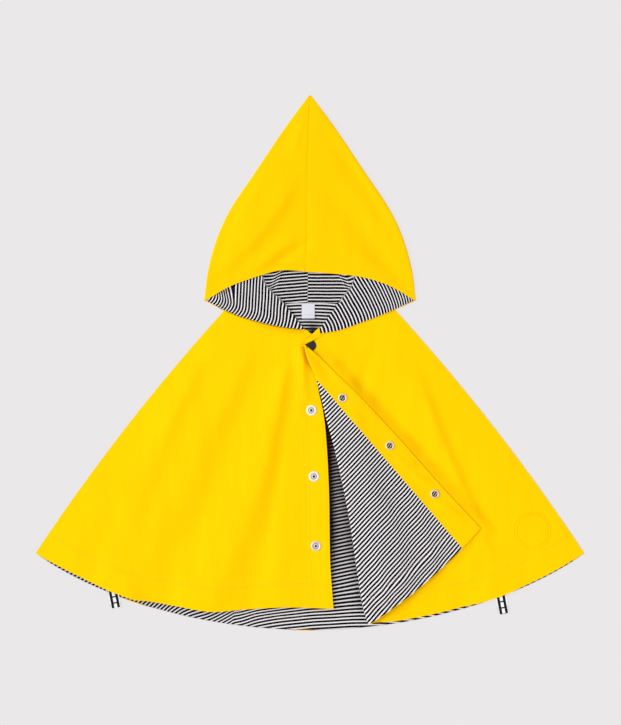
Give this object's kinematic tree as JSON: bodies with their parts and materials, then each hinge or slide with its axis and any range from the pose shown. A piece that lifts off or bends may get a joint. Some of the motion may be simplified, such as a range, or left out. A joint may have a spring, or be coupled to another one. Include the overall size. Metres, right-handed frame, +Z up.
{
  "type": "baby rain cape",
  "caption": "Hooded rain cape for a baby, laid flat face up with one front turned back to show its striped lining; pointed hood, snap front and tape loops at the hem.",
  "frame": {"origin": "middle of the cape's footprint, on the surface it lies on", "axes": "+X across the cape to the right as seen from above, +Y from the hem towards the point of the hood, +Z up from the surface"},
  "size_m": [0.659, 0.6427, 0.0142],
  "materials": {
    "yellow_shell": "matte coated cotton with a fine weave",
    "striped_lining": "cotton jersey with narrow navy and white stripes",
    "white_tape": "woven white tape",
    "silver_snap": "bright nickel",
    "charcoal_snap": "satin enamel"
  },
  "bodies": {
    "root": {"back_panel": "yellow_shell", "back_lining": "striped_lining", "front_left": "yellow_shell", "front_right": "yellow_shell", "front_right_lining": "striped_lining", "front_right_facing": "yellow_shell", "hood_left": "yellow_shell", "hood_right": "yellow_shell", "hood_lining_left": "striped_lining", "hood_lining_right": "striped_lining", "neck_binding_left": "yellow_shell", "neck_binding_right": "yellow_shell", "neck_label": "white_tape", "tape_loop_left": "white_tape", "tape_loop_right": "white_tape", "snap_cap_neck": "charcoal_snap", "snap_stud_1": "silver_snap", "snap_stud_2": "silver_snap", "snap_stud_3": "silver_snap", "snap_socket_1": "silver_snap", "snap_socket_2": "silver_snap", "snap_socket_3": "silver_snap"}
  },
  "joints": []
}
